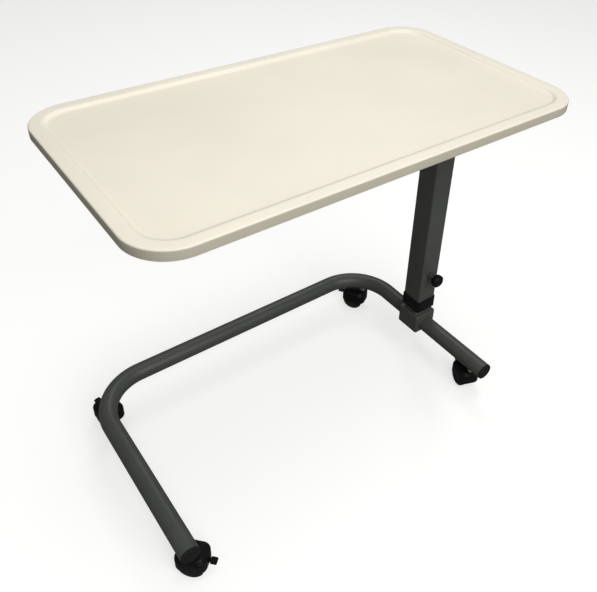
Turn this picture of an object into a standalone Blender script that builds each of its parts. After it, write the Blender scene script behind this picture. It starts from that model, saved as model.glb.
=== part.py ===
"""Overbed table: a rimmed top on a telescopic mast, on a U-shaped tube base with four casters.

Metres, +Z up.  +X runs along the long side of the top towards the mast, +Y runs to the closed
back of the U-shaped base, and the legs point to -Y.  The origin is on the floor, under the
middle of the whole table's box.  The table stands at its lowest height, with the clamp tight.
"""

import math

import bmesh
import bpy
from mathutils import Matrix, Vector

MM = 0.001
GAP = 0.3 * MM                      # clearance between two touching pieces
SMOOTH_ANGLE = 35                   # degrees; a sharper edge than this stays sharp
OVERCUT = 2 * MM                    # how far a cutting shape runs past the face it cuts

# The table is built about the middle of its top, then moved onto the middle of its whole box.
FRAME_SHIFT = (3.89 * MM, 0.51 * MM)

# Top: a board with a raised rim.
TOP_LENGTH = 860 * MM
TOP_DEPTH = 480 * MM
TOP_THICKNESS = 18 * MM
TOP_HEIGHT = 737 * MM
TOP_CORNER = 74 * MM
TOP_EDGE = 3 * MM
TOP_LOWER_EDGE = 1.5 * MM
RIM_WIDTH = 22 * MM
RIM_SLOPE = 6 * MM
RECESS_DEPTH = 4.8 * MM

# Under-frame: two box rails across a plate on the mast's head.
RAIL_HEIGHT = 20 * MM
RAIL_WIDTH = 30 * MM
RAIL_WALL = 1.5 * MM
RAIL_Y = 120 * MM
RAIL_START_X = -345 * MM
RAIL_END_X = 388 * MM
PLATE_THICKNESS = 5 * MM
PLATE_SIZE_X = 120 * MM
PLATE_SIZE_Y = 290 * MM
PLATE_CORNER = 8 * MM
TOP_SCREW_XS = (-305 * MM, -40 * MM, 225 * MM)
TOP_SCREW_RADIUS = 2.2 * MM
TOP_SCREW_BITE = 10 * MM            # how far a screw goes into the board
HEAD_BOLT_OFFSET_X = 42 * MM
HEAD_BOLT_RADIUS = 3 * MM
HEAD_BOLT_LENGTH = 15 * MM
HOLE_PLAY = 0.4 * MM                # a screw hole is this much wider in radius than its screw

# Mast: a square outer tube that slides on a square inner post.
MAST_X = 324.7 * MM
MAST_SIZE = 52 * MM
MAST_CORNER = 3.5 * MM
MAST_WALL = 2 * MM
POST_SIZE = 40 * MM
POST_CORNER = 4 * MM
POST_TOP = 670 * MM
COLLAR_SIZE = 57 * MM
COLLAR_BOTTOM = 125 * MM
COLLAR_TOP = 156 * MM
COLLAR_FLOOR = 4 * MM
SLEEVE_TOP = 190 * MM
GLIDE_LENGTH = 40 * MM
GLIDE_CAP = 3 * MM
PLUG_HEIGHT = 18 * MM
PLUG_CORNER = 2 * MM

# Clamp: a knob and its screw press a pad on the post through the mast's -Y wall.
KNOB_Z = 229 * MM
KNOB_RADIUS = 15.3 * MM
KNOB_STANDOFF = 12.5 * MM
KNOB_DEPTH = 21 * MM
KNOB_SOCKET = 12 * MM
SCREW_RADIUS = 4 * MM
SCREW_PLAY = 0.5 * MM
BOSS_LENGTH = 9 * MM
BOSS_RADIUS = 8 * MM
PAD_RADIUS = 7 * MM
PAD_THICKNESS = 1.2 * MM

# Base: one round tube bent to a U.
TUBE_RADIUS = 19 * MM
TUBE_WALL = 2 * MM
TUBE_Z = 85 * MM
LEFT_LEG_X = -418.2 * MM
RIGHT_LEG_X = 323.7 * MM
BACK_BAR_Y = 216.7 * MM
BEND_RADIUS = 108 * MM
LEG_END_Y = -229 * MM
CAP_FLANGE = 3 * MM
CAP_PLUG = 16 * MM

# Block that joins the mast to the base.
BLOCK_SIZE_X = 60 * MM
BLOCK_SIZE_Y = 64 * MM
BLOCK_BOTTOM = 63.5 * MM
BLOCK_TOP = 113.5 * MM
BLOCK_EDGE = 4.5 * MM
POST_BOLT_RADIUS = 4 * MM
POST_BOLT_HEAD_RADIUS = 6.8 * MM
POST_BOLT_SINK = 0.9 * MM           # how far the bolt's head is let into the block

# Casters: 50 mm twin wheels under a hood that trails behind the stem.
WHEEL_RADIUS = 25 * MM
WHEEL_WIDTH = 15 * MM
WHEEL_INNER_Y = 7.2 * MM
TRAIL = 20 * MM
AXLE_RADIUS = 3 * MM
WEB_HALF = 6.5 * MM
HOOD_TOP = 56 * MM
HOOD_BOTTOM = 24 * MM
HOOD_HALF_WIDTH = 25.2 * MM
STEM_RADIUS = 4 * MM
STEM_RING = 0.8 * MM                # snap ring that holds the stem in the hood
STEM_RING_Z = 44 * MM
NUT_RADIUS = 7.5 * MM
PIN_RADIUS = 1.5 * MM
STEM_LEG_Y = -192 * MM
STEM_BEND_ANGLE = math.radians(40)  # from the leg, round the bend
BRAKE_PIVOT = (43 * MM, 35 * MM)    # along the trail, above the floor
LEVER_WIDTH = 8.4 * MM

# Name, stem position and the direction in which the wheels trail, in degrees.
BEND_IN = BEND_RADIUS * (1 - math.cos(STEM_BEND_ANGLE))
BEND_STEM_Y = BACK_BAR_Y - BEND_RADIUS + BEND_RADIUS * math.sin(STEM_BEND_ANGLE)
CASTERS = (
    ("front_left", LEFT_LEG_X, STEM_LEG_Y, -48),
    ("front_right", RIGHT_LEG_X, STEM_LEG_Y, 70),
    ("rear_right", RIGHT_LEG_X - BEND_IN, BEND_STEM_Y, 120),
    ("rear_left", LEFT_LEG_X + BEND_IN, BEND_STEM_Y, 102),
)

# Colour, roughness and metallic value of each finish.
FINISHES = {
    "cream_laminate": ((0.83, 0.80, 0.70), 0.38, 0.0),
    "grey_powder_coat": ((0.085, 0.09, 0.083), 0.42, 0.35),
    "zinc_steel": ((0.62, 0.62, 0.60), 0.3, 1.0),
    "black_plastic": ((0.012, 0.013, 0.013), 0.45, 0.0),
    "grey_tread": ((0.03, 0.03, 0.03), 0.7, 0.0),
}


def clear_scene():
    for old in list(bpy.data.objects):
        bpy.data.objects.remove(old)


def finish(name):
    found = bpy.data.materials.get(name)
    if found:
        return found
    colour, roughness, metallic = FINISHES[name]
    material = bpy.data.materials.new(name)
    material.use_nodes = True
    shader = material.node_tree.nodes["Principled BSDF"]
    shader.inputs["Base Color"].default_value = (*colour, 1.0)
    shader.inputs["Roughness"].default_value = roughness
    shader.inputs["Metallic"].default_value = metallic
    return material


def make_object(name, bm, finish_name, place=None, smooth_angle=SMOOTH_ANGLE):
    """Turn a bmesh into a named object, at a place that may be a location or a matrix."""
    bmesh.ops.recalc_face_normals(bm, faces=bm.faces)
    mesh = bpy.data.meshes.new(name)
    bm.to_mesh(mesh)
    bm.free()
    mesh.shade_smooth()
    mesh.set_sharp_from_angle(angle=math.radians(smooth_angle))
    mesh.materials.append(finish(finish_name))
    made = bpy.data.objects.new(name, mesh)
    bpy.context.scene.collection.objects.link(made)
    if isinstance(place, Matrix):
        made.matrix_world = place
    elif place is not None:
        made.location = place
    return made


def combine(target, tool, operation):
    """Join a helper object to the target, or cut it away, and drop the helper."""
    modifier = target.modifiers.new(operation.lower(), "BOOLEAN")
    modifier.operation = operation
    modifier.solver = "EXACT"
    modifier.object = tool
    bpy.context.view_layer.update()
    evaluated = target.evaluated_get(bpy.context.evaluated_depsgraph_get())
    result = bpy.data.meshes.new_from_object(evaluated)
    target.modifiers.clear()
    target.data = result
    bpy.data.objects.remove(tool)
    target.data.shade_smooth()
    target.data.set_sharp_from_angle(angle=math.radians(SMOOTH_ANGLE))


def cut(target, tool):
    combine(target, tool, "DIFFERENCE")


def join(target, tool):
    combine(target, tool, "UNION")


def rounded_rectangle(size_x, size_y, radius, steps=4):
    """Corner arcs of a rectangle about the origin, counter-clockwise."""
    points = []
    corners = ((1, 1, 0), (-1, 1, 90), (-1, -1, 180), (1, -1, 270))
    for side_x, side_y, start in corners:
        centre_x = side_x * (size_x / 2 - radius)
        centre_y = side_y * (size_y / 2 - radius)
        for step in range(steps + 1):
            angle = math.radians(start + 90 * step / steps)
            points.append((centre_x + radius * math.cos(angle), centre_y + radius * math.sin(angle)))
    return points


def circle(radius, steps):
    turn = 2 * math.pi / steps
    return [(radius * math.cos(turn * i), radius * math.sin(turn * i)) for i in range(steps)]


def skin(rings, closed=False):
    """Solid through rings of equal count: capped at both ends, or closed on itself."""
    bm = bmesh.new()
    loops = [[bm.verts.new(point) for point in ring] for ring in rings]
    count = len(loops[0])
    pairs = list(zip(loops, loops[1:]))
    if closed:
        pairs.append((loops[-1], loops[0]))
    for low, high in pairs:
        for i in range(count):
            j = (i + 1) % count
            bm.faces.new((low[i], low[j], high[j], high[i]))
    if not closed:
        bm.faces.new(loops[0])
        bm.faces.new(loops[-1])
    return bm


def ring_at(outline, z):
    return [(x, y, z) for x, y in outline]


def turned(profile, steps, closed=False):
    """Solid turned about Z from (radius, height) points; a closed profile leaves a bore."""
    return skin([ring_at(circle(radius, steps), z) for radius, z in profile], closed)


def prism(outline, bottom, top):
    return skin([ring_at(outline, bottom), ring_at(outline, top)])


def square_tube(profile):
    """Closed square tube from (half size, corner radius, height) points around its wall."""
    rings = [ring_at(rounded_rectangle(2 * half, 2 * half, radius), z) for half, radius, z in profile]
    return skin(rings, closed=True)


def along_y(x, y, z):
    """Matrix that lays a piece's +Z along -Y at a point."""
    return Matrix.Translation((x, y, z)) @ Matrix.Rotation(math.radians(90), 4, "X")


def drill(target, radius, bottom, top, place, steps=12):
    """Cut a round hole between two heights of a place's own axis."""
    tool = make_object("drill", prism(circle(radius, steps), bottom, top), "zinc_steel", place)
    cut(target, tool)


def make_top():
    """Board with a rounded edge, a flat rim and a shallow recess inside it."""
    underside = TOP_HEIGHT - TOP_THICKNESS
    layers = (
        (TOP_LOWER_EDGE, underside),
        (0.0, underside + TOP_LOWER_EDGE),
        (0.0, TOP_HEIGHT - TOP_EDGE),
        (0.3 * TOP_EDGE, TOP_HEIGHT - 0.3 * TOP_EDGE),
        (TOP_EDGE, TOP_HEIGHT),
        (RIM_WIDTH, TOP_HEIGHT),
        (RIM_WIDTH + 0.25 * RIM_SLOPE, TOP_HEIGHT - 0.12 * RECESS_DEPTH),
        (RIM_WIDTH + 0.75 * RIM_SLOPE, TOP_HEIGHT - 0.88 * RECESS_DEPTH),
        (RIM_WIDTH + RIM_SLOPE, TOP_HEIGHT - RECESS_DEPTH),
    )
    rings = []
    for inset, z in layers:
        length = TOP_LENGTH - 2 * inset
        depth = TOP_DEPTH - 2 * inset
        rings.append(ring_at(rounded_rectangle(length, depth, TOP_CORNER - inset, 8), z))
    top = make_object("table_top", skin(rings), "cream_laminate", None, 60)
    hole_radius = TOP_SCREW_RADIUS + HOLE_PLAY
    hole_top = underside + TOP_SCREW_BITE + 2 * GAP
    for screw_x in TOP_SCREW_XS:
        for side in (-1, 1):
            drill(top, hole_radius, underside - OVERCUT, hole_top, (screw_x, side * RAIL_Y, 0), 10)


def make_rail(name, y, top, bottom):
    """Box rail along X, open at both ends."""
    outer = rounded_rectangle(RAIL_WIDTH, RAIL_HEIGHT, 2.5 * MM, 2)
    inner = rounded_rectangle(RAIL_WIDTH - 2 * RAIL_WALL, RAIL_HEIGHT - 2 * RAIL_WALL, 1.2 * MM, 2)
    middle = (top + bottom) / 2
    rings = []
    for outline, x in (
        (outer, RAIL_START_X),
        (outer, RAIL_END_X),
        (inner, RAIL_END_X),
        (inner, RAIL_START_X),
    ):
        rings.append([(x, y + a, middle + b) for a, b in outline])
    return make_object(name, skin(rings, closed=True), "grey_powder_coat")


def make_top_screw(number, x, y, head_top):
    """Pan-head screw, up through a rail and into the board."""
    board = head_top + GAP + RAIL_HEIGHT + GAP
    profile = (
        (3.2 * MM, head_top - 2.8 * MM),
        (4.6 * MM, head_top - 1.4 * MM),
        (4.6 * MM, head_top),
        (TOP_SCREW_RADIUS, head_top),
        (TOP_SCREW_RADIUS, board + TOP_SCREW_BITE - 2 * MM),
        (0.7 * MM, board + TOP_SCREW_BITE),
    )
    make_object(f"top_screw_{number}", turned(profile, 10), "zinc_steel", (x, y, 0))


def make_head_bolt(number, x, y, head_top):
    """Hexagon bolt, up through the head plate and the rail's lower wall."""
    head = prism(circle(5.8 * MM, 6), head_top - 4 * MM, head_top)
    bolt = make_object(f"head_bolt_{number}", head, "zinc_steel", (x, y, 0), 20)
    shank = prism(circle(HEAD_BOLT_RADIUS, 12), head_top - 2 * MM, head_top + HEAD_BOLT_LENGTH)
    join(bolt, make_object("shank", shank, "zinc_steel", (x, y, 0)))


def make_underframe():
    """Rails, head plate and their screws, stacked down from the underside of the top."""
    rail_top = TOP_HEIGHT - TOP_THICKNESS - GAP
    rail_bottom = rail_top - RAIL_HEIGHT
    plate_top = rail_bottom - GAP
    plate_bottom = plate_top - PLATE_THICKNESS
    bolt_xs = (MAST_X - HEAD_BOLT_OFFSET_X, MAST_X + HEAD_BOLT_OFFSET_X)
    screw_hole = TOP_SCREW_RADIUS + HOLE_PLAY
    bolt_hole = HEAD_BOLT_RADIUS + HOLE_PLAY

    outline = rounded_rectangle(PLATE_SIZE_X, PLATE_SIZE_Y, PLATE_CORNER, 3)
    blank = prism(outline, plate_bottom, plate_top)
    plate = make_object("head_plate", blank, "grey_powder_coat", (MAST_X, 0, 0))
    for side, side_name in ((-1, "front"), (1, "back")):
        y = side * RAIL_Y
        rail = make_rail("support_rail_" + side_name, y, rail_top, rail_bottom)
        for x in TOP_SCREW_XS:
            drill(rail, screw_hole, rail_bottom - OVERCUT, rail_top + OVERCUT, (x, y, 0), 10)
        for x in bolt_xs:
            drill(rail, bolt_hole, rail_bottom - OVERCUT, rail_bottom + RAIL_HEIGHT / 2, (x, y, 0), 10)
            drill(plate, bolt_hole, plate_bottom - OVERCUT, plate_top + OVERCUT, (x, y, 0), 10)

    sides = (-RAIL_Y, RAIL_Y)
    for number, (x, y) in enumerate([(x, y) for x in TOP_SCREW_XS for y in sides], 1):
        make_top_screw(number, x, y, rail_bottom - GAP)
    for number, (x, y) in enumerate([(x, y) for x in bolt_xs for y in sides], 1):
        make_head_bolt(number, x, y, plate_bottom - GAP)
    return plate_bottom


def make_mast(plate_bottom):
    """Outer tube, its lower collar, the inner post and the glide on the post's head."""
    place = (MAST_X, 0, 0)
    half = MAST_SIZE / 2
    bore = half - MAST_WALL
    tube_bottom = COLLAR_BOTTOM + COLLAR_FLOOR + GAP
    tube_top = plate_bottom - GAP
    inner_corner = MAST_CORNER - MAST_WALL
    tube = make_object("outer_mast_tube", square_tube((
        (half, MAST_CORNER, tube_bottom),
        (half, MAST_CORNER, tube_top),
        (bore, inner_corner, tube_top),
        (bore, inner_corner, tube_bottom),
    )), "grey_powder_coat", place)
    clamp_axis = along_y(MAST_X, 0, KNOB_Z)
    drill(tube, SCREW_RADIUS + SCREW_PLAY, half - 2 * MAST_WALL, half + OVERCUT, clamp_axis, 16)

    cup = COLLAR_SIZE / 2
    cup_corner = MAST_CORNER + (COLLAR_SIZE - MAST_SIZE) / 2
    post_half = POST_SIZE / 2
    make_object("lower_collar", square_tube((
        (cup, cup_corner, COLLAR_BOTTOM),
        (cup, cup_corner, COLLAR_TOP),
        (half + GAP, MAST_CORNER, COLLAR_TOP),
        (half + GAP, MAST_CORNER, COLLAR_BOTTOM + COLLAR_FLOOR),
        (bore - GAP, inner_corner, COLLAR_BOTTOM + COLLAR_FLOOR),
        (bore - GAP, inner_corner, SLEEVE_TOP),
        (post_half + GAP, POST_CORNER, SLEEVE_TOP),
        (post_half + GAP, POST_CORNER, COLLAR_BOTTOM),
    )), "black_plastic", place)

    post_bottom = BLOCK_TOP + GAP
    make_object("inner_post", square_tube((
        (post_half, POST_CORNER, post_bottom),
        (post_half, POST_CORNER, POST_TOP),
        (post_half - MAST_WALL, POST_CORNER - MAST_WALL, POST_TOP),
        (post_half - MAST_WALL, POST_CORNER - MAST_WALL, post_bottom),
    )), "zinc_steel", place)

    glide_rings = []
    for size, radius, z in (
        (post_half + GAP, POST_CORNER, POST_TOP + GAP),
        (post_half + GAP, POST_CORNER, POST_TOP - GLIDE_LENGTH),
        (bore - GAP, inner_corner, POST_TOP - GLIDE_LENGTH),
        (bore - GAP, inner_corner, POST_TOP + GLIDE_CAP),
    ):
        glide_rings.append(ring_at(rounded_rectangle(2 * size, 2 * size, radius), z))
    make_object("upper_glide", skin(glide_rings), "black_plastic", place)


def make_clamp():
    """Boss on the mast's wall, the screw through it, the knob and the pad inside."""
    place = along_y(MAST_X, -MAST_SIZE / 2, KNOB_Z)
    bore = SCREW_RADIUS + SCREW_PLAY
    make_object("clamp_boss", turned((
        (BOSS_RADIUS, GAP),
        (BOSS_RADIUS, BOSS_LENGTH - 1.5 * MM),
        (BOSS_RADIUS - 1.2 * MM, BOSS_LENGTH),
        (bore, BOSS_LENGTH),
        (bore, GAP),
    ), 12, closed=True), "grey_powder_coat", place)

    post_face = -(MAST_SIZE - POST_SIZE) / 2            # the post's face, below the mast's
    pad_tip = post_face + GAP
    pad_back = pad_tip + PAD_THICKNESS
    make_object("clamp_pad", prism(circle(PAD_RADIUS, 16), pad_tip, pad_back), "black_plastic", place)

    screw_tip = pad_back + GAP
    screw_end = KNOB_STANDOFF + KNOB_SOCKET
    make_object("clamp_screw", turned((
        (SCREW_RADIUS - 1 * MM, screw_tip),
        (SCREW_RADIUS, screw_tip + 1 * MM),
        (SCREW_RADIUS, screw_end),
    ), 16), "zinc_steel", place)

    knob_end = KNOB_STANDOFF + KNOB_DEPTH
    knob = make_object("knob", turned((
        (6.5 * MM, KNOB_STANDOFF),
        (7.5 * MM, KNOB_STANDOFF + 4 * MM),
        (KNOB_RADIUS - 1.5 * MM, KNOB_STANDOFF + 6 * MM),
        (KNOB_RADIUS, KNOB_STANDOFF + 8.5 * MM),
        (KNOB_RADIUS, knob_end - 5 * MM),
        (KNOB_RADIUS - 2 * MM, knob_end - 2 * MM),
        (KNOB_RADIUS - 7 * MM, knob_end),
    ), 24), "black_plastic", place)
    drill(knob, SCREW_RADIUS + GAP, KNOB_STANDOFF - OVERCUT, screw_end + GAP, place, 16)


def tube_path():
    """Centre points and directions of the base tube, from the left leg's end to the right's."""
    bend_y = BACK_BAR_Y - BEND_RADIUS
    left_centre = Vector((LEFT_LEG_X + BEND_RADIUS, bend_y, TUBE_Z))
    right_centre = Vector((RIGHT_LEG_X - BEND_RADIUS, bend_y, TUBE_Z))
    stations = [(Vector((LEFT_LEG_X, LEG_END_Y, TUBE_Z)), math.radians(90))]
    steps = 9
    for centre, start in ((left_centre, 180), (right_centre, 90)):
        for step in range(steps + 1):
            angle = math.radians(start - 90 * step / steps)
            offset = Vector((math.cos(angle), math.sin(angle), 0)) * BEND_RADIUS
            stations.append((centre + offset, angle - math.radians(90)))
    stations.append((Vector((RIGHT_LEG_X, LEG_END_Y, TUBE_Z)), math.radians(-90)))
    return stations


def make_base():
    """Bent tube with open ends, its two end caps and the holes for the stems and the bolt."""
    around = 20
    stations = tube_path()
    bm = bmesh.new()
    shells = []
    for radius in (TUBE_RADIUS, TUBE_RADIUS - TUBE_WALL):
        rings = []
        for centre, heading in stations:
            side = Vector((math.sin(heading), -math.cos(heading), 0))
            around_centre = [centre + side * a + Vector((0, 0, b)) for a, b in circle(radius, around)]
            rings.append([bm.verts.new(point) for point in around_centre])
        shells.append(rings)
    for rings in shells:
        for first, second in zip(rings, rings[1:]):
            for i in range(around):
                j = (i + 1) % around
                bm.faces.new((first[i], first[j], second[j], second[i]))
    for end in (0, -1):
        outer, inner = shells[0][end], shells[1][end]
        for i in range(around):
            j = (i + 1) % around
            bm.faces.new((outer[i], outer[j], inner[j], inner[i]))
    tube = make_object("base_tube", bm, "grey_powder_coat")
    for _, stem_x, stem_y, _ in CASTERS:
        drill(tube, STEM_RADIUS + GAP, TUBE_Z - TUBE_RADIUS - OVERCUT, TUBE_Z, (stem_x, stem_y, 0))
    bolt_hole = POST_BOLT_RADIUS + HOLE_PLAY
    drill(tube, bolt_hole, TUBE_Z - TUBE_RADIUS - OVERCUT, TUBE_Z + TUBE_RADIUS + OVERCUT, (MAST_X, 0, 0))

    for side_name, leg_x in (("left", LEFT_LEG_X), ("right", RIGHT_LEG_X)):
        bore = TUBE_RADIUS - TUBE_WALL - GAP
        make_object("end_cap_" + side_name, turned((
            (bore - 3 * MM, -CAP_PLUG),
            (bore - 0.6 * MM, 2 * MM - CAP_PLUG),
            (bore - 0.6 * MM, GAP),
            (TUBE_RADIUS, GAP),
            (TUBE_RADIUS, CAP_FLANGE - 0.8 * MM),
            (TUBE_RADIUS - 1.2 * MM, CAP_FLANGE),
        ), around), "black_plastic", along_y(leg_x, LEG_END_Y, TUBE_Z))


def make_mast_block():
    """Block round the right leg, under the post, with the bolt and plug that hold the post."""
    bevel = BLOCK_EDGE / 2
    outline = rounded_rectangle(BLOCK_SIZE_X, BLOCK_SIZE_Y, BLOCK_EDGE)
    shrunk = rounded_rectangle(BLOCK_SIZE_X - 2 * bevel, BLOCK_SIZE_Y - 2 * bevel, bevel)
    rings = (
        ring_at(shrunk, BLOCK_BOTTOM),
        ring_at(outline, BLOCK_BOTTOM + bevel),
        ring_at(outline, BLOCK_TOP - bevel),
        ring_at(shrunk, BLOCK_TOP),
    )
    place = (MAST_X, 0, 0)
    block = make_object("mast_block", skin(rings), "grey_powder_coat", place)
    leg_axis = along_y(RIGHT_LEG_X, 0, TUBE_Z)
    drill(block, TUBE_RADIUS + 1.5 * GAP, -BLOCK_SIZE_Y, BLOCK_SIZE_Y, leg_axis, 20)
    drill(block, POST_BOLT_RADIUS + HOLE_PLAY, BLOCK_BOTTOM - OVERCUT, BLOCK_TOP + OVERCUT, place)
    seat = BLOCK_BOTTOM + POST_BOLT_SINK
    drill(block, POST_BOLT_HEAD_RADIUS + 4 * GAP, BLOCK_BOTTOM - OVERCUT, seat, place, 16)

    half = POST_SIZE / 2 - MAST_WALL - GAP
    plug_bottom = BLOCK_TOP + 2 * GAP
    plug_top = plug_bottom + PLUG_HEIGHT
    plug_outline = rounded_rectangle(2 * half, 2 * half, PLUG_CORNER, 2)
    plug = make_object("post_plug", prism(plug_outline, plug_bottom, plug_top), "zinc_steel", place)
    drill(plug, POST_BOLT_RADIUS + GAP, plug_bottom - OVERCUT, plug_top + OVERCUT, place)

    head_top = seat - GAP
    make_object("post_bolt", turned((
        (POST_BOLT_HEAD_RADIUS - 1.3 * MM, head_top - 4.5 * MM),
        (POST_BOLT_HEAD_RADIUS, head_top - 3.5 * MM),
        (POST_BOLT_HEAD_RADIUS, head_top),
        (POST_BOLT_RADIUS, head_top),
        (POST_BOLT_RADIUS, plug_top + 2 * MM),
        (POST_BOLT_RADIUS - 1 * MM, plug_top + 3 * MM),
    ), 12), "zinc_steel", place)


def make_hood():
    """Hood with its wheel pockets, middle web, stem socket, axle hole and brake slot."""
    front = -11 * MM
    back = TRAIL + 29.5 * MM
    middle = (back + front) / 2
    rings = []
    for inset, z in (
        (0.0, HOOD_BOTTOM),
        (0.0, HOOD_TOP - 16 * MM),
        (1.0 * MM, HOOD_TOP - 9 * MM),
        (4.0 * MM, HOOD_TOP - 4.5 * MM),
        (8.5 * MM, HOOD_TOP - 1.5 * MM),
        (14 * MM, HOOD_TOP),
    ):
        length = back - front - 2 * inset
        width = 2 * (HOOD_HALF_WIDTH - inset)
        outline = rounded_rectangle(length, width, 15 * MM - 0.8 * inset, 3)
        rings.append([(middle + x, y, z) for x, y in outline])
    hood = make_object("hood", skin(rings), "black_plastic", None, 50)

    across = Matrix.Translation((TRAIL, 0, WHEEL_RADIUS)) @ Matrix.Rotation(math.radians(-90), 4, "X")
    pocket_radius = WHEEL_RADIUS + 1.5 * MM
    for side in (-1, 1):
        cut(hood, make_object("pocket", turned((
            (pocket_radius, side * WEB_HALF),
            (pocket_radius, side * (HOOD_HALF_WIDTH - 8.2 * MM)),
            (pocket_radius - 5 * MM, side * (HOOD_HALF_WIDTH - 1.9 * MM)),
        ), 24), "black_plastic", across))
    join(hood, make_object("web", prism(circle(9 * MM, 16), -WEB_HALF, WEB_HALF), "black_plastic", across))
    drill(hood, AXLE_RADIUS + GAP, -HOOD_HALF_WIDTH, HOOD_HALF_WIDTH, across)

    socket = STEM_RADIUS + GAP
    cut(hood, make_object("socket", turned((
        (socket, STEM_RING_Z - 7 * MM),
        (socket, STEM_RING_Z - 2 * MM),
        (socket + STEM_RING, STEM_RING_Z - 1 * MM),
        (socket + STEM_RING, STEM_RING_Z + 1 * MM),
        (socket, STEM_RING_Z + 2 * MM),
        (socket, HOOD_TOP + OVERCUT),
    ), 12), "black_plastic"))

    pivot_x, pivot_z = BRAKE_PIVOT
    slot_width = LEVER_WIDTH + 0.8 * MM
    for length, offset_x, low, high in (
        (14 * MM, 2 * MM, -8.5 * MM, 7 * MM),
        (20 * MM, 8 * MM, -7 * MM, 4 * MM),
    ):
        slot = prism(rounded_rectangle(length, slot_width, 1 * MM, 1), low, high)
        cut(hood, make_object("slot", slot, "black_plastic", (pivot_x + offset_x, 0, pivot_z)))
    pin_place = Matrix.Translation((pivot_x, 0, pivot_z)) @ Matrix.Rotation(math.radians(90), 4, "X")
    drill(hood, PIN_RADIUS + GAP, -HOOD_HALF_WIDTH, HOOD_HALF_WIDTH, pin_place, 10)
    return hood


def make_lever():
    """Brake lever: a cam round its pin, a neck through the hood and a wide foot pad."""
    across = Matrix.Rotation(math.radians(90), 4, "X")
    cam = prism(circle(LEVER_WIDTH / 2, 14), -LEVER_WIDTH / 2, LEVER_WIDTH / 2)
    cam.transform(across)
    lever = make_object("lever", cam, "black_plastic")
    for size_x, size_y, corner, half_thickness, offset_x, steps in (
        (12 * MM, 7.6 * MM, 0.8 * MM, 1.8 * MM, 8 * MM, 1),
        (13 * MM, 13.5 * MM, 2 * MM, 2.2 * MM, 16.5 * MM, 3),
    ):
        outline = rounded_rectangle(size_x, size_y, corner, steps)
        plate = prism(outline, -half_thickness, half_thickness)
        join(lever, make_object("plate", plate, "black_plastic", (offset_x, 0, 0)))
    drill(lever, PIN_RADIUS + GAP, -LEVER_WIDTH, LEVER_WIDTH, across, 10)
    return lever


def make_wheel():
    """Wheel with a rounded tread, a dished outer face and an axle hole."""
    bore = AXLE_RADIUS + GAP
    wide = WHEEL_WIDTH
    profile = (
        (bore, 0.0),
        (WHEEL_RADIUS - 1.5 * MM, 0.0),
        (WHEEL_RADIUS, 1.5 * MM),
        (WHEEL_RADIUS, wide - 5 * MM),
        (WHEEL_RADIUS - 1.5 * MM, wide - 2 * MM),
        (WHEEL_RADIUS - 5 * MM, wide),
        (WHEEL_RADIUS - 9 * MM, wide - 2 * MM),
        (7 * MM, wide - 1 * MM),
        (bore, wide - 1 * MM),
    )
    return make_object("wheel", turned(profile, 24, closed=True), "grey_tread")


def share(source, name, place, parent=None):
    """Another object with the source's mesh, on a parent if it turns with one."""
    made = bpy.data.objects.new(name, source.data)
    bpy.context.scene.collection.objects.link(made)
    made.parent = parent
    made.matrix_world = place
    return made


def make_stem():
    """Threaded stem with its snap ring, on the swivel's axis."""
    return make_object("stem", turned((
        (STEM_RADIUS - 1.5 * MM, STEM_RING_Z - 6 * MM),
        (STEM_RADIUS, STEM_RING_Z - 4.5 * MM),
        (STEM_RADIUS, STEM_RING_Z - 1.4 * MM),
        (STEM_RADIUS + STEM_RING, STEM_RING_Z - 0.5 * MM),
        (STEM_RADIUS + STEM_RING, STEM_RING_Z + 0.5 * MM),
        (STEM_RADIUS, STEM_RING_Z + 1.4 * MM),
        (STEM_RADIUS, TUBE_Z - 6 * MM),
        (STEM_RADIUS - 1 * MM, TUBE_Z - 5 * MM),
    ), 12), "zinc_steel")


def make_nut():
    """Hexagon nut between the hood and the tube."""
    low = HOOD_TOP + 0.8 * MM
    high = TUBE_Z - TUBE_RADIUS - GAP
    nut = make_object("nut", prism(circle(NUT_RADIUS, 6), low, high), "zinc_steel", None, 20)
    drill(nut, STEM_RADIUS + GAP, low - OVERCUT, high + OVERCUT, (0, 0, 0))
    return nut


def make_casters():
    """Four casters: stem and nut in the base, and a hood that swivels with wheels and brake."""
    hood = make_hood()
    wheel = make_wheel()
    lever = make_lever()
    stem = make_stem()
    nut = make_nut()
    axle = make_object("axle", prism(circle(AXLE_RADIUS, 12), -21 * MM, 21 * MM), "zinc_steel")
    pin = make_object("pin", prism(circle(PIN_RADIUS, 10), -6.3 * MM, 6.3 * MM), "zinc_steel")

    pivot_x, pivot_z = BRAKE_PIVOT
    lay_down = Matrix.Rotation(math.radians(-90), 4, "X")
    stand_back = Matrix.Rotation(math.radians(90), 4, "X")
    for name, stem_x, stem_y, heading in CASTERS:
        swivel = bpy.data.objects.new("swivel_" + name, None)
        bpy.context.scene.collection.objects.link(swivel)
        swivel.location = (stem_x, stem_y, 0)
        swivel.rotation_euler = (0, 0, math.radians(heading))
        bpy.context.view_layer.update()
        turn = swivel.matrix_world.copy()
        across = turn @ Matrix.Translation((TRAIL, 0, WHEEL_RADIUS)) @ lay_down
        share(stem, "caster_stem_" + name, turn)
        share(nut, "stem_nut_" + name, turn)
        share(hood, "caster_hood_" + name, turn, swivel)
        share(axle, "caster_axle_" + name, across, swivel)
        for side_name, flip in (("left", 0), ("right", 180)):
            spun = across @ Matrix.Rotation(math.radians(flip), 4, "X")
            inner = Matrix.Translation((0, 0, WHEEL_INNER_Y))
            share(wheel, f"wheel_{name}_{side_name}", spun @ inner, swivel)
        at_pivot = turn @ Matrix.Translation((pivot_x, 0, pivot_z))
        share(lever, "brake_lever_" + name, at_pivot, swivel)
        share(pin, "brake_pin_" + name, at_pivot @ stand_back, swivel)
    for source in (hood, wheel, lever, stem, nut, axle, pin):
        bpy.data.objects.remove(source)


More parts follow.
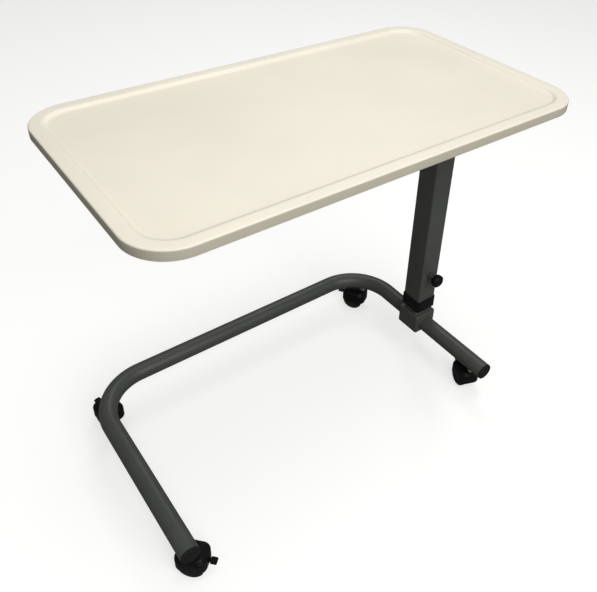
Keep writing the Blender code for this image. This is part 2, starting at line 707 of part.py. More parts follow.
def move_to_frame():
    """Bring the middle of the table's box over the origin."""
    for made in bpy.data.objects:
        if made.parent is None:
            made.location.x += FRAME_SHIFT[0]
            made.location.y += FRAME_SHIFT[1]


def main():
    clear_scene()
    make_top()
    plate_bottom = make_underframe()
    make_mast(plate_bottom)
    make_clamp()
    make_base()
    make_mast_block()
    make_casters()
    move_to_frame()


main()
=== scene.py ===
import math

import bmesh
import bpy
from mathutils import Matrix, Vector


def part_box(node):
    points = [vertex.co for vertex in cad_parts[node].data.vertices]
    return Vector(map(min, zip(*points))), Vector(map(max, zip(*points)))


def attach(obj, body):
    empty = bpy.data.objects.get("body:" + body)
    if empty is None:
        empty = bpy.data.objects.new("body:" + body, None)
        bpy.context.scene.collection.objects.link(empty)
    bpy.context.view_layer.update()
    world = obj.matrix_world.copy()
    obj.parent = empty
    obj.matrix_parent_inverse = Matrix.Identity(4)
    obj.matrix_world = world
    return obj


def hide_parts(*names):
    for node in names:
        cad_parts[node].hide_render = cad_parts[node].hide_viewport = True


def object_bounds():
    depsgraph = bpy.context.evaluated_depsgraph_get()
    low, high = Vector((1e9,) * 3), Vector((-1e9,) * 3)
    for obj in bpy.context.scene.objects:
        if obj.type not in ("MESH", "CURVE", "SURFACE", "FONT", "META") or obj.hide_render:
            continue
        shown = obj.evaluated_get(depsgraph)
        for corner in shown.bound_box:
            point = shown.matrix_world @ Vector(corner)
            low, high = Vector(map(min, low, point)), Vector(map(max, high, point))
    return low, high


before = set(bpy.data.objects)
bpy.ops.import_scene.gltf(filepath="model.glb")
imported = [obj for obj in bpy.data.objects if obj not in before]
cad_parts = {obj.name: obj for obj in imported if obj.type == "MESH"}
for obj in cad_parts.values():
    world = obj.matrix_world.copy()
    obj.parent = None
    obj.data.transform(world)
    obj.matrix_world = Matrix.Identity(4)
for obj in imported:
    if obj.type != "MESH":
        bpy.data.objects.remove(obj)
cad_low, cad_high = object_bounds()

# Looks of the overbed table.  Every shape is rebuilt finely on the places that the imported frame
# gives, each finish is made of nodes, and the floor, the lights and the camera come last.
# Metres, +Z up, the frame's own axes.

MM = 0.001
UP = Vector((0, 0, 1))
SMOOTH_ANGLE = 35                   # degrees; a sharper edge than this stays sharp

# Sizes that the frame's boxes don't give; they are the CAD's own.
TOP_CORNER = 74 * MM
TOP_EDGE = 3 * MM
TOP_LOWER_EDGE = 1.5 * MM
RIM_WIDTH = 22 * MM
RIM_SLOPE = 6 * MM
RECESS_DEPTH = 4.8 * MM
BEND_RADIUS = 108 * MM
TUBE_WALL = 2 * MM
MAST_CORNER = 3.5 * MM
MAST_WALL = 2 * MM
POST_CORNER = 4 * MM
COLLAR_HEIGHT = 31 * MM
COLLAR_FLOOR = 4 * MM
GAP = 0.3 * MM                      # clearance between two touching pieces
TRAIL = 20 * MM                     # from a caster's stem to its axle
WHEEL_RADIUS = 25 * MM
WHEEL_WIDTH = 15 * MM
WHEEL_INNER_Y = 7.2 * MM
AXLE_RADIUS = 3 * MM
STEM_RADIUS = 4 * MM
WEB_HALF = 6.5 * MM
HOOD_TOP = 56 * MM
HOOD_BOTTOM = 24 * MM
HOOD_HALF_WIDTH = 25.2 * MM
BRAKE_PIVOT = (43 * MM, 35 * MM)    # of the brake's pin, along the caster and up
HEADINGS = {"front_left": -48, "front_right": 70, "rear_right": 120, "rear_left": 102}

# Smaller sizes of the visual pieces.
RAIL_WALL = 1.5 * MM
RAIL_CORNER = 2.5 * MM
RAIL_INNER_CORNER = 1.2 * MM
PLATE_CORNER = 8 * MM
PLATE_EDGE = 0.8 * MM
HEX_RADIUS = 5.8 * MM
HEX_HEIGHT = 4 * MM
HEAD_BOLT_RADIUS = 3 * MM
SCREW_RADIUS = 2.2 * MM
SCREW_HEAD_RADIUS = 4.6 * MM
SCREW_HEAD_HEIGHT = 2.8 * MM
BOSS_BORE = 4.5 * MM
BLOCK_CORNER = 5 * MM
BLOCK_EDGE = 3.5 * MM
BLOCK_PLAY = 0.4 * MM               # the block's bore is this much wider in radius than the leg
WELD_BEAD = 1.5 * MM
WELD_RIPPLES = 44
HOOD_FRONT = -11 * MM
HOOD_BACK = TRAIL + 29.5 * MM
HOOD_CORNER = 16 * MM
POCKET_PLAY = 1.5 * MM
HUB_RADIUS = 9 * MM
PIN_RADIUS = 1.8 * MM
LEVER_HALF = 4.2 * MM
NUT_RADIUS = 7.5 * MM
AXLE_HALF = 21 * MM
CUTTER_HALF = 20 * MM               # half length of a round tool that runs past what it cuts

FLOOR_REACH = 30.0                  # half of the floor's side
FLOOR_DROP = 0.2 * MM               # how far the floor lies under the wheels
ROOM_GREY = (0.24, 0.24, 0.235)     # the room, to every ray but the camera's


# ---------------------------------------------------------------- finishes

def node_material(name, roughness, metallic=0.0):
    """A material with its shader, its tree and a coordinate that moves with the piece."""
    material = bpy.data.materials.new(name)
    material.use_nodes = True
    tree = material.node_tree
    shader = tree.nodes["Principled BSDF"]
    shader.inputs["Roughness"].default_value = roughness
    shader.inputs["Metallic"].default_value = metallic
    place = tree.nodes.new("ShaderNodeTexCoord").outputs["Object"]
    return material, tree, shader, place


def noise(tree, place, scale, detail=3.0, stretch=None):
    """Noise at a scale in cycles for each metre, stretched along an axis if asked."""
    if stretch:
        mapping = tree.nodes.new("ShaderNodeMapping")
        mapping.inputs["Scale"].default_value = stretch
        tree.links.new(place, mapping.inputs["Vector"])
        place = mapping.outputs["Vector"]
    made = tree.nodes.new("ShaderNodeTexNoise")
    made.inputs["Scale"].default_value = scale
    made.inputs["Detail"].default_value = detail
    tree.links.new(place, made.inputs["Vector"])
    return made.outputs["Fac"]


def ramp(tree, source, stops):
    """Colours spread over a value between (position, colour) stops."""
    made = tree.nodes.new("ShaderNodeValToRGB")
    elements = made.color_ramp.elements
    for element, (position, colour) in zip(elements, (stops[0], stops[-1])):
        element.position = position
        element.color = (*colour, 1)
    for position, colour in stops[1:-1]:
        elements.new(position).color = (*colour, 1)
    tree.links.new(source, made.inputs["Fac"])
    return made.outputs["Color"]


def spread(tree, source, low, high):
    """The value's middle range carried to low..high."""
    made = tree.nodes.new("ShaderNodeMapRange")
    made.inputs["From Min"].default_value = 0.3
    made.inputs["From Max"].default_value = 0.7
    made.inputs["To Min"].default_value = low
    made.inputs["To Max"].default_value = high
    tree.links.new(source, made.inputs["Value"])
    return made.outputs["Result"]


def upright(tree):
    """How far the surface faces up: 1 on the flat top, 0 on the sides, less below."""
    made = tree.nodes.new("ShaderNodeSeparateXYZ")
    normal = tree.nodes.new("ShaderNodeTexCoord").outputs["Normal"]
    tree.links.new(normal, made.inputs["Vector"])
    return made.outputs["Z"]


def scaled(colour, factor):
    """The colour times a factor."""
    return tuple(channel * factor for channel in colour)


def scaled_value(tree, source, factor):
    """The value times a factor."""
    made = tree.nodes.new("ShaderNodeMath")
    made.operation = "MULTIPLY"
    made.inputs[1].default_value = factor
    tree.links.new(source, made.inputs[0])
    return made.outputs["Value"]


def blend(tree, fac, first, second):
    """Colour between two others by a value."""
    made = tree.nodes.new("ShaderNodeMix")
    made.data_type = "RGBA"
    tree.links.new(fac, made.inputs["Factor"])
    for socket, colour in ((made.inputs["A"], first), (made.inputs["B"], second)):
        if isinstance(colour, tuple):
            socket.default_value = (*colour, 1)
        else:
            tree.links.new(colour, socket)
    return made.outputs["Result"]


def relief(tree, shader, layers):
    """Stacks bumps of (height source, depth in metres) on the shader's normal."""
    normal = None
    for source, depth in layers:
        bump = tree.nodes.new("ShaderNodeBump")
        bump.inputs["Distance"].default_value = depth
        tree.links.new(source, bump.inputs["Height"])
        if normal:
            tree.links.new(normal, bump.inputs["Normal"])
        normal = bump.outputs["Normal"]
    tree.links.new(normal, shader.inputs["Normal"])


def cream_laminate():
    """Satin cream foil: faint clouding, a fine speckle, a very fine pebbled relief, and painted shade that
    darkens the sides and underside.
    """
    material, tree, shader, place = node_material("cream_laminate", 0.5)
    base = (0.71, 0.665, 0.565)
    shades = ((0.35, scaled(base, 0.975)), (0.65, scaled(base, 1.02)))
    clouds = ramp(tree, noise(tree, place, 5, 4), shades)
    speckle = spread(tree, noise(tree, place, 1400, 2), 0.0, 0.05)
    foil = blend(tree, speckle, clouds, (0.5, 0.46, 0.37))
    # Painted shade: faces turned away from up (the sides and the underside) are blended to a darker tone.
    side_shade_mask = spread(tree, upright(tree), 0.0, 1.0)
    colour = blend(tree, side_shade_mask, (0.50, 0.465, 0.375), foil)
    tree.links.new(colour, shader.inputs["Base Color"])
    shader.inputs["Specular IOR Level"].default_value = 0.35
    tree.links.new(spread(tree, noise(tree, place, 60, 3), 0.46, 0.55), shader.inputs["Roughness"])
    relief(tree, shader, ((noise(tree, place, 900, 2), 0.00002), (noise(tree, place, 25, 2), 0.00006)))
    return material


def grey_powder_coat():
    """Graphite powder coat: orange-peel relief, fine grain in the colour and in the gloss."""
    material, tree, shader, place = node_material("grey_powder_coat", 0.4)
    shader.inputs["Specular IOR Level"].default_value = 0.35
    base = (0.060, 0.064, 0.058)
    clouds = ramp(tree, noise(tree, place, 14, 4), ((0.35, scaled(base, 0.92)), (0.65, scaled(base, 1.08))))
    grain = spread(tree, noise(tree, place, 1800, 2), 0.0, 0.22)
    colour = blend(tree, grain, clouds, scaled(base, 1.7))
    tree.links.new(colour, shader.inputs["Base Color"])
    tree.links.new(spread(tree, noise(tree, place, 700, 2), 0.34, 0.5), shader.inputs["Roughness"])
    relief(tree, shader, ((noise(tree, place, 650, 2), 0.00006), (noise(tree, place, 2200, 1), 0.00002)))
    return material


def black_plastic():
    """Moulded black plastic: fine eroded grain and slight gloss changes."""
    material, tree, shader, place = node_material("black_plastic", 0.45)
    shader.inputs["Specular IOR Level"].default_value = 0.15
    base = (0.0035, 0.004, 0.004)
    clouds = ramp(tree, noise(tree, place, 45, 4), ((0.35, scaled(base, 0.8)), (0.65, scaled(base, 1.3))))
    tree.links.new(clouds, shader.inputs["Base Color"])
    tree.links.new(spread(tree, noise(tree, place, 260, 3), 0.38, 0.55), shader.inputs["Roughness"])
    relief(tree, shader, ((noise(tree, place, 2600, 2), 0.00004), (noise(tree, place, 500, 2), 0.00003)))
    return material


def cap_plastic():
    """Matte plastic of the tube's end caps, a little browner and paler than the casters."""
    material, tree, shader, place = node_material("cap_plastic", 0.6)
    shader.inputs["Specular IOR Level"].default_value = 0.15
    base = (0.010, 0.0095, 0.0085)
    clouds = ramp(tree, noise(tree, place, 60, 4), ((0.35, scaled(base, 0.8)), (0.65, scaled(base, 1.35))))
    tree.links.new(clouds, shader.inputs["Base Color"])
    tree.links.new(spread(tree, noise(tree, place, 300, 3), 0.5, 0.7), shader.inputs["Roughness"])
    relief(tree, shader, ((noise(tree, place, 1500, 2), 0.00005), (noise(tree, place, 200, 2), 0.00004)))
    return material


def wheel_plastic():
    """Hard black tread: matte, with dust and fine scuffs."""
    material, tree, shader, place = node_material("wheel_plastic", 0.62)
    shader.inputs["Specular IOR Level"].default_value = 0.25
    base = (0.009, 0.0095, 0.0095)
    scuffs = spread(tree, noise(tree, place, 240, 4), 0.0, 0.3)
    dust = spread(tree, noise(tree, place, 70, 5), 0.0, 0.6)
    dusty = blend(tree, dust, base, (0.020, 0.019, 0.018))
    tree.links.new(blend(tree, scuffs, dusty, (0.03, 0.029, 0.027)), shader.inputs["Base Color"])
    tree.links.new(spread(tree, noise(tree, place, 120, 3), 0.52, 0.75), shader.inputs["Roughness"])
    relief(tree, shader, ((noise(tree, place, 900, 3), 0.00008),))
    return material


def chromed_post():
    """Chromed square tube with faint drawing lines along its length."""
    material, tree, shader, place = node_material("chromed_post", 0.14, 0.7)
    lines = noise(tree, place, 900, 2, (1.0, 1.0, 0.01))
    tint = ramp(tree, lines, ((0.3, (0.84, 0.85, 0.85)), (0.7, (0.93, 0.93, 0.92))))
    tree.links.new(tint, shader.inputs["Base Color"])
    tree.links.new(spread(tree, lines, 0.1, 0.24), shader.inputs["Roughness"])
    relief(tree, shader, ((lines, 0.000015), (noise(tree, place, 40, 3), 0.00002)))
    return material


def zinc_steel():
    """Bright zinc: grey-blue clouds and a fine uneven relief."""
    material, tree, shader, place = node_material("zinc_steel", 0.33, 1.0)
    clouds = noise(tree, place, 220, 4)
    shades = ((0.3, (0.50, 0.51, 0.50)), (0.55, (0.64, 0.64, 0.62)), (0.75, (0.70, 0.68, 0.62)))
    tint = ramp(tree, clouds, shades)
    tree.links.new(tint, shader.inputs["Base Color"])
    tree.links.new(spread(tree, noise(tree, place, 500, 3), 0.25, 0.45), shader.inputs["Roughness"])
    relief(tree, shader, ((clouds, 0.00005), (noise(tree, place, 2000, 2), 0.00002)))
    return material


FINISH = {
    "cream": cream_laminate(),
    "grey": grey_powder_coat(),
    "black": black_plastic(),
    "cap": cap_plastic(),
    "tread": wheel_plastic(),
    "chrome": chromed_post(),
    "zinc": zinc_steel(),
}


# ---------------------------------------------------------------- shapes

def circle(radius, steps):
    """Points round the origin, counter-clockwise."""
    turn = 2 * math.pi / steps
    return [(radius * math.cos(turn * i), radius * math.sin(turn * i)) for i in range(steps)]


def rounded_rectangle(size_x, size_y, radius, steps=12):
    """Corner arcs of a rectangle about the origin, counter-clockwise."""
    points = []
    for side_x, side_y, start in ((1, 1, 0), (-1, 1, 90), (-1, -1, 180), (1, -1, 270)):
        centre_x = side_x * (size_x / 2 - radius)
        centre_y = side_y * (size_y / 2 - radius)
        for step in range(steps + 1):
            angle = math.radians(start + 90 * step / steps)
            points.append((centre_x + radius * math.cos(angle), centre_y + radius * math.sin(angle)))
    return points


def filleted(points, steps=5, closed=False):
    """Outline through (x, y, radius) points, each corner rounded by its own radius."""
    outline = []
    last_index = len(points) - 1
    for i, (x, y, radius) in enumerate(points):
        if radius == 0 or (not closed and i in (0, last_index)):
            outline.append((x, y))
            continue
        corner = Vector((x, y))
        before = (Vector(points[i - 1][:2]) - corner).normalized()
        after = (Vector(points[(i + 1) % len(points)][:2]) - corner).normalized()
        half = before.angle(after) / 2
        centre = corner + (before + after).normalized() * (radius / math.sin(half))
        first = corner + before * (radius / math.tan(half)) - centre
        last = corner + after * (radius / math.tan(half)) - centre
        start = math.atan2(first.y, first.x)
        turn = math.remainder(math.atan2(last.y, last.x) - start, 2 * math.pi)
        for step in range(steps + 1):
            angle = start + turn * step / steps
            outline.append((centre.x + radius * math.cos(angle), centre.y + radius * math.sin(angle)))
    return outline


def skin(rings, closed=False):
    """Solid through rings of equal count: capped at both ends, or closed on itself."""
    bm = bmesh.new()
    loops = [[bm.verts.new(point) for point in ring] for ring in rings]
    pairs = list(zip(loops, loops[1:]))
    if closed:
        pairs.append((loops[-1], loops[0]))
    count = len(loops[0])
    for low, high in pairs:
        for i in range(count):
            j = (i + 1) % count
            bm.faces.new((low[i], low[j], high[j], high[i]))
    if not closed:
        bm.faces.new(loops[0])
        bm.faces.new(loops[-1])
    return bm


def turned(profile, steps=64, closed=False):
    """Solid turned about Z from (radius, height) points; a closed profile leaves a bore."""
    return skin([[(x, y, z) for x, y in circle(radius, steps)] for radius, z in profile], closed)


def prism(outline, bottom, top):
    """Solid that carries an outline straight up."""
    return skin([[(x, y, bottom) for x, y in outline], [(x, y, top) for x, y in outline]])


def slab(size_x, size_y, corner, bottom, top, edge, steps=8):
    """Rounded rectangular block whose upper and lower edges are rounded too."""
    profile = filleted(((2 * edge, bottom, 0), (0, bottom, edge), (0, top, edge), (2 * edge, top, 0)))
    rings = []
    for inset, z in profile:
        radius = max(corner - inset, 0.2 * corner)
        outline = rounded_rectangle(size_x - 2 * inset, size_y - 2 * inset, radius, steps)
        rings.append([(x, y, z) for x, y in outline])
    return skin(rings)


def square_tube(profile, corner, steps=8):
    """Closed square tube from (half size, height) points around its wall."""
    widest = max(half for half, _ in profile)
    rings = []
    for half, z in profile:
        radius = max(corner - (widest - half), 0.25 * corner)
        rings.append([(x, y, z) for x, y in rounded_rectangle(2 * half, 2 * half, radius, steps)])
    return skin(rings, closed=True)


def mesh_object(name, bm, finish, place=None, smooth_angle=SMOOTH_ANGLE):
    """Turn a bmesh into an object with smooth shading between its sharp edges."""
    bmesh.ops.recalc_face_normals(bm, faces=bm.faces)
    mesh = bpy.data.meshes.new(name)
    bm.to_mesh(mesh)
    bm.free()
    mesh.shade_smooth()
    mesh.set_sharp_from_angle(angle=math.radians(smooth_angle))
    mesh.materials.append(FINISH[finish])
    made = bpy.data.objects.new(name, mesh)
    bpy.context.scene.collection.objects.link(made)
    if place is not None:
        made.matrix_world = place
    return made


def stand_in(piece, body, finish, *nodes):
    """The piece rides on a body and is shown instead of the CAD nodes."""
    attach(piece, body)
    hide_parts(*nodes)
    return piece


def combine(target, bm, operation, place=None):
    """Join a shape to the target, or cut it away."""
    tool = mesh_object("tool", bm, "black", place)
    modifier = target.modifiers.new("combine", "BOOLEAN")
    modifier.operation = operation
    modifier.solver = "EXACT"
    modifier.object = tool
    settle(target)
    bpy.data.objects.remove(tool)


def settle(target, smooth_angle=SMOOTH_ANGLE):
    """Apply the target's modifiers to its mesh."""
    bpy.context.view_layer.update()
    evaluated = target.evaluated_get(bpy.context.evaluated_depsgraph_get())
    mesh = bpy.data.meshes.new_from_object(evaluated)
    target.modifiers.clear()
    kept = target.data.materials[0]
    target.data = mesh
    mesh.materials.clear()
    mesh.materials.append(kept)
    mesh.shade_smooth()
    mesh.set_sharp_from_angle(angle=math.radians(smooth_angle))


def soften(target, width, segments=3, smooth_angle=40):
    """Round the target's sharp edges."""
    bevel = target.modifiers.new("soften", "BEVEL")
    bevel.width = width
    bevel.segments = segments
    bevel.limit_method = "ANGLE"
    bevel.angle_limit = math.radians(30)
    bevel.use_clamp_overlap = True
    settle(target, smooth_angle)


def at(x, y, z=0.0):
    """A move to a point."""
    return Matrix.Translation((x, y, z))


def facing_front(x, y, z):
    """Lays a shape's +Z along -Y at a point."""
    return at(x, y, z) @ Matrix.Rotation(math.radians(90), 4, "X")


def middle(node):
    """Middle of a CAD node's box."""
    low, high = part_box(node)
    return (low + high) / 2


# ---------------------------------------------------------------- top and under-frame

def make_top():
    """Board with a rounded edge, a flat rim and a soft step down to the recess."""
    low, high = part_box("table_top")
    centre = (low + high) / 2
    length, depth = high.x - low.x, high.y - low.y
    floor = high.z - RECESS_DEPTH
    profile = filleted((
        (40 * MM, low.z, 0),
        (0, low.z, TOP_LOWER_EDGE),
        (0, high.z, TOP_EDGE),
        (RIM_WIDTH, high.z, 10 * MM),
        (RIM_WIDTH + RIM_SLOPE, floor, 10 * MM),
        (60 * MM, floor, 0),
    ), 8)
    rings = []
    for inset, z in profile:
        outline = rounded_rectangle(length - 2 * inset, depth - 2 * inset, TOP_CORNER - inset, 32)
        rings.append([(x, y, z) for x, y in outline])
    top = mesh_object("tray_top", skin(rings), "cream", at(centre.x, centre.y), 50)
    stand_in(top, "mast", "cream", "table_top")


def make_rail(name):
    """Box rail with rounded corners, open at both ends."""
    low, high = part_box(name)
    centre = (low + high) / 2
    width, height = high.y - low.y, high.z - low.z
    outer = rounded_rectangle(width, height, RAIL_CORNER, 8)
    inner = rounded_rectangle(width - 2 * RAIL_WALL, height - 2 * RAIL_WALL, RAIL_INNER_CORNER, 8)
    rings = []
    for outline, x in ((outer, low.x), (outer, high.x), (inner, high.x), (inner, low.x)):
        rings.append([(x, centre.y + a, centre.z + b) for a, b in outline])
    rail = mesh_object(name.replace("support_rail", "rail"), skin(rings, closed=True), "grey")
    stand_in(rail, "mast", "grey", name)


def make_head_plate():
    """Plate on the mast's head, under the rails."""
    low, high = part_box("head_plate")
    centre = (low + high) / 2
    bm = slab(high.x - low.x, high.y - low.y, PLATE_CORNER, low.z, high.z, PLATE_EDGE)
    plate = mesh_object("mast_head_plate", bm, "grey", at(centre.x, centre.y))
    stand_in(plate, "mast", "grey", "head_plate")


def make_head_bolts():
    """Four hexagon bolts with chamfered heads, up through the plate."""
    for number in range(1, 5):
        low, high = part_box(f"head_bolt_{number}")
        centre = (low + high) / 2
        head = prism(circle(HEX_RADIUS, 6), low.z, low.z + HEX_HEIGHT)
        bolt = mesh_object(f"hex_bolt_{number}", head, "zinc", at(centre.x, centre.y), 20)
        chamfer = turned((
            (0.5 * MM, low.z),
            (5.2 * MM, low.z),
            (7 * MM, low.z + 1.2 * MM),
            (7 * MM, low.z + 6 * MM),
            (0.5 * MM, low.z + 6 * MM),
        ), 48)
        combine(bolt, chamfer, "INTERSECT", at(centre.x, centre.y))
        shank = turned(((HEAD_BOLT_RADIUS, low.z + 2 * MM), (HEAD_BOLT_RADIUS, high.z)), 32)
        combine(bolt, shank, "UNION", at(centre.x, centre.y))
        stand_in(bolt, "mast", "zinc", f"head_bolt_{number}")


def make_top_screws():
    """Six pan-head screws with a cross recess, up through the rails."""
    for number in range(1, 7):
        low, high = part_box(f"top_screw_{number}")
        centre = (low + high) / 2
        profile = filleted((
            (0.6 * MM, low.z, 0),
            (3.2 * MM, low.z, 1.2 * MM),
            (SCREW_HEAD_RADIUS, low.z + 1.4 * MM, 0.6 * MM),
            (SCREW_HEAD_RADIUS, low.z + SCREW_HEAD_HEIGHT, 0),
            (SCREW_RADIUS, low.z + SCREW_HEAD_HEIGHT, 0),
            (SCREW_RADIUS, high.z - 2 * MM, 0),
            (0.7 * MM, high.z, 0),
        ))
        screw = mesh_object(f"pan_screw_{number}", turned(profile, 40), "zinc", at(centre.x, centre.y))
        for turn in (0, 90):
            recess = slab(4 * MM, 0.9 * MM, 0.3 * MM, low.z - 1 * MM, low.z + 1.4 * MM, 0.1 * MM, 2)
            place = at(centre.x, centre.y) @ Matrix.Rotation(math.radians(turn + 15 * number), 4, "Z")
            combine(screw, recess, "DIFFERENCE", place)
        stand_in(screw, "mast", "zinc", f"top_screw_{number}")


# ---------------------------------------------------------------- mast and clamp

def make_mast():
    """Outer tube, collar and the chromed post inside it."""
    low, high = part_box("outer_mast_tube")
    centre = (low + high) / 2
    half = (high.x - low.x) / 2
    bore = half - MAST_WALL
    edge = 0.5 * MM
    place = at(centre.x, centre.y)
    tube = square_tube(filleted((
        (half, low.z, edge), (half, high.z, edge), (bore, high.z, edge), (bore, low.z, edge),
    ), 3, closed=True), MAST_CORNER, 10)
    stand_in(mesh_object("mast_sleeve", tube, "grey", place), "mast", "grey", "outer_mast_tube")

    post_low, post_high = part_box("inner_post")
    post_half = (post_high.x - post_low.x) / 2
    post_bore = post_half - MAST_WALL
    post = square_tube(filleted((
        (post_half, post_low.z, edge), (post_half, post_high.z, edge),
        (post_bore, post_high.z, edge), (post_bore, post_low.z, edge),
    ), 3, closed=True), POST_CORNER, 10)
    stand_in(mesh_object("chrome_post", post, "chrome", place), "base", "chrome", "inner_post")

    collar_low, collar_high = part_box("lower_collar")
    cup = (collar_high.x - collar_low.x) / 2
    rim = collar_low.z + COLLAR_HEIGHT
    seat = collar_low.z + COLLAR_FLOOR
    collar = square_tube(filleted((
        (cup, collar_low.z, 1.0 * MM),
        (cup, rim, 1.4 * MM),
        (half + GAP, rim, 0.5 * MM),
        (half + GAP, seat, 0),
        (bore - GAP, seat, 0),
        (bore - GAP, collar_high.z, 0.4 * MM),
        (post_half + GAP, collar_high.z, 0.4 * MM),
        (post_half + GAP, collar_low.z, 0.6 * MM),
    ), 4, closed=True), MAST_CORNER + cup - half, 10)
    stand_in(mesh_object("collar", collar, "black", place), "mast", "black", "lower_collar")


def make_clamp():
    """Threaded boss on the mast's front wall, and the round knob on its screw."""
    low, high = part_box("clamp_boss")
    centre = (low + high) / 2
    place = facing_front(centre.x, high.y, centre.z)
    length = high.y - low.y
    radius = (high.x - low.x) / 2
    boss = turned(filleted((
        (radius, 0, 0.3 * MM),
        (radius, length, 1.2 * MM),
        (BOSS_BORE, length, 0.4 * MM),
        (BOSS_BORE, 0, 0.2 * MM),
    ), 4, closed=True), 64, closed=True)
    stand_in(mesh_object("boss", boss, "grey", place), "mast", "grey", "clamp_boss")

    low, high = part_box("knob")
    radius = (high.z - low.z) / 2
    depth = high.y - low.y
    place = facing_front(centre.x, high.y, centre.z)
    profile = filleted((
        (0.6 * MM, 1.0 * MM, 0),
        (6.6 * MM, 0, 0.8 * MM),
        (7.4 * MM, 4 * MM, 1.5 * MM),
        (radius - 1.2 * MM, 5.6 * MM, 1.0 * MM),
        (radius, 8.5 * MM, 1.5 * MM),
        (radius, 16 * MM, 1.6 * MM),
        (radius - 4 * MM, depth - 1.6 * MM, 3 * MM),
        (0.6 * MM, depth, 0),
    ), 6)
    knob = mesh_object("clamp_wheel", turned(profile, 96), "black", place)
    stand_in(knob, "clamp_knob", "black", "knob")


# ---------------------------------------------------------------- base

def tube_stations(left_x, right_x, back_y, end_y, height, steps=40):
    """Centre points and headings of the U, from the left leg's end to the right leg's."""
    bend_y = back_y - BEND_RADIUS
    stations = [(Vector((left_x, end_y, height)), math.radians(90))]
    for centre_x, start in ((left_x + BEND_RADIUS, 180), (right_x - BEND_RADIUS, 90)):
        centre = Vector((centre_x, bend_y, height))
        for step in range(steps + 1):
            angle = math.radians(start - 90 * step / steps)
            offset = Vector((math.cos(angle), math.sin(angle), 0)) * BEND_RADIUS
            stations.append((centre + offset, angle - math.radians(90)))
    stations.append((Vector((right_x, end_y, height)), math.radians(-90)))
    return stations


def make_base():
    """Bent tube, its end caps, the block on the right leg and the welds round the leg."""
    low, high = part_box("base_tube")
    radius = (high.z - low.z) / 2
    height = (high.z + low.z) / 2
    left_x, right_x = low.x + radius, high.x - radius
    make_tube(tube_stations(left_x, right_x, high.y - radius, low.y, height), radius)
    make_cap("left", left_x, low.y, height, radius)
    make_cap("right", right_x, low.y, height, radius)
    make_block(right_x, height, radius)


def make_tube(stations, radius, around=64):
    """Hollow tube through the stations, open at both ends."""
    bm = bmesh.new()
    shells = []
    for shell_radius in (radius, radius - TUBE_WALL):
        rings = []
        for centre, heading in stations:
            side = Vector((math.sin(heading), -math.cos(heading), 0))
            rings.append([bm.verts.new(centre + side * a + UP * b) for a, b in circle(shell_radius, around)])
        shells.append(rings)
    for rings in shells:
        for first, second in zip(rings, rings[1:]):
            for i in range(around):
                j = (i + 1) % around
                bm.faces.new((first[i], first[j], second[j], second[i]))
    for end in (0, -1):
        outer, inner = shells[0][end], shells[1][end]
        for i in range(around):
            j = (i + 1) % around
            bm.faces.new((outer[i], outer[j], inner[j], inner[i]))
    tube = mesh_object("u_tube", bm, "grey")
    stand_in(tube, "base", "grey", "base_tube")


def make_cap(side, leg_x, tube_end, height, radius):
    """Push-in end cap with a dished face."""
    cap_low, cap_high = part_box("end_cap_" + side)
    flange = tube_end - cap_low.y
    plug = radius - TUBE_WALL - 0.9 * MM
    plug_end = tube_end - cap_high.y
    profile = filleted((
        (plug - 3 * MM, plug_end, 0),
        (plug, plug_end + 2 * MM, 0.5 * MM),
        (plug, GAP, 0),
        (radius, GAP, 0.2 * MM),
        (radius, flange, 1.2 * MM),
        (radius - 3.5 * MM, flange - 0.3 * MM, 1.0 * MM),
        (radius - 4.5 * MM, flange - 0.8 * MM, 0.8 * MM),
        (0.6 * MM, flange - 0.8 * MM, 0),
    ), 5)
    place = facing_front(leg_x, tube_end, height)
    cap = mesh_object("leg_cap_" + side, turned(profile, 72), "cap", place)
    stand_in(cap, "base", "cap", "end_cap_" + side)


def make_block(leg_x, height, radius):
    """Block that holds the post, bored for the right leg, with a weld at each end of the bore."""
    low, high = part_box("mast_block")
    centre = (low + high) / 2
    bm = slab(high.x - low.x, high.y - low.y, BLOCK_CORNER, low.z, high.z, BLOCK_EDGE, 10)
    block = mesh_object("mast_foot", bm, "grey", at(centre.x, centre.y))
    bore = prism(circle(radius + BLOCK_PLAY, 64), -60 * MM, 60 * MM)
    combine(block, bore, "DIFFERENCE", facing_front(leg_x, centre.y, height))
    stand_in(block, "base", "grey", "mast_block")
    make_weld("weld_front", leg_x, low.y, height, radius)
    make_weld("weld_back", leg_x, high.y, height, radius)


def make_weld(name, x, y, z, radius, steps=192, around=12):
    """Ring of weld round the leg, swelling a little with each pass."""
    rings = []
    for step in range(steps):
        angle = 2 * math.pi * step / steps
        ripple = 0.12 * math.sin(WELD_RIPPLES * angle)
        swell = WELD_BEAD * (1 + ripple + 0.08 * math.sin(5 * angle + 1))
        centre = Vector((math.cos(angle), 0, math.sin(angle))) * (radius + 0.25 * WELD_BEAD)
        out = centre.normalized()
        ring = [centre + out * swell * math.cos(t) + Vector((0, 1, 0)) * swell * math.sin(t)
                for t in (2 * math.pi * k / around for k in range(around))]
        rings.append([Vector((x, y, z)) + point for point in ring])
    weld = mesh_object(name, skin(rings, closed=True), "grey", None, 80)
    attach(weld, "base")


# ---------------------------------------------------------------- casters

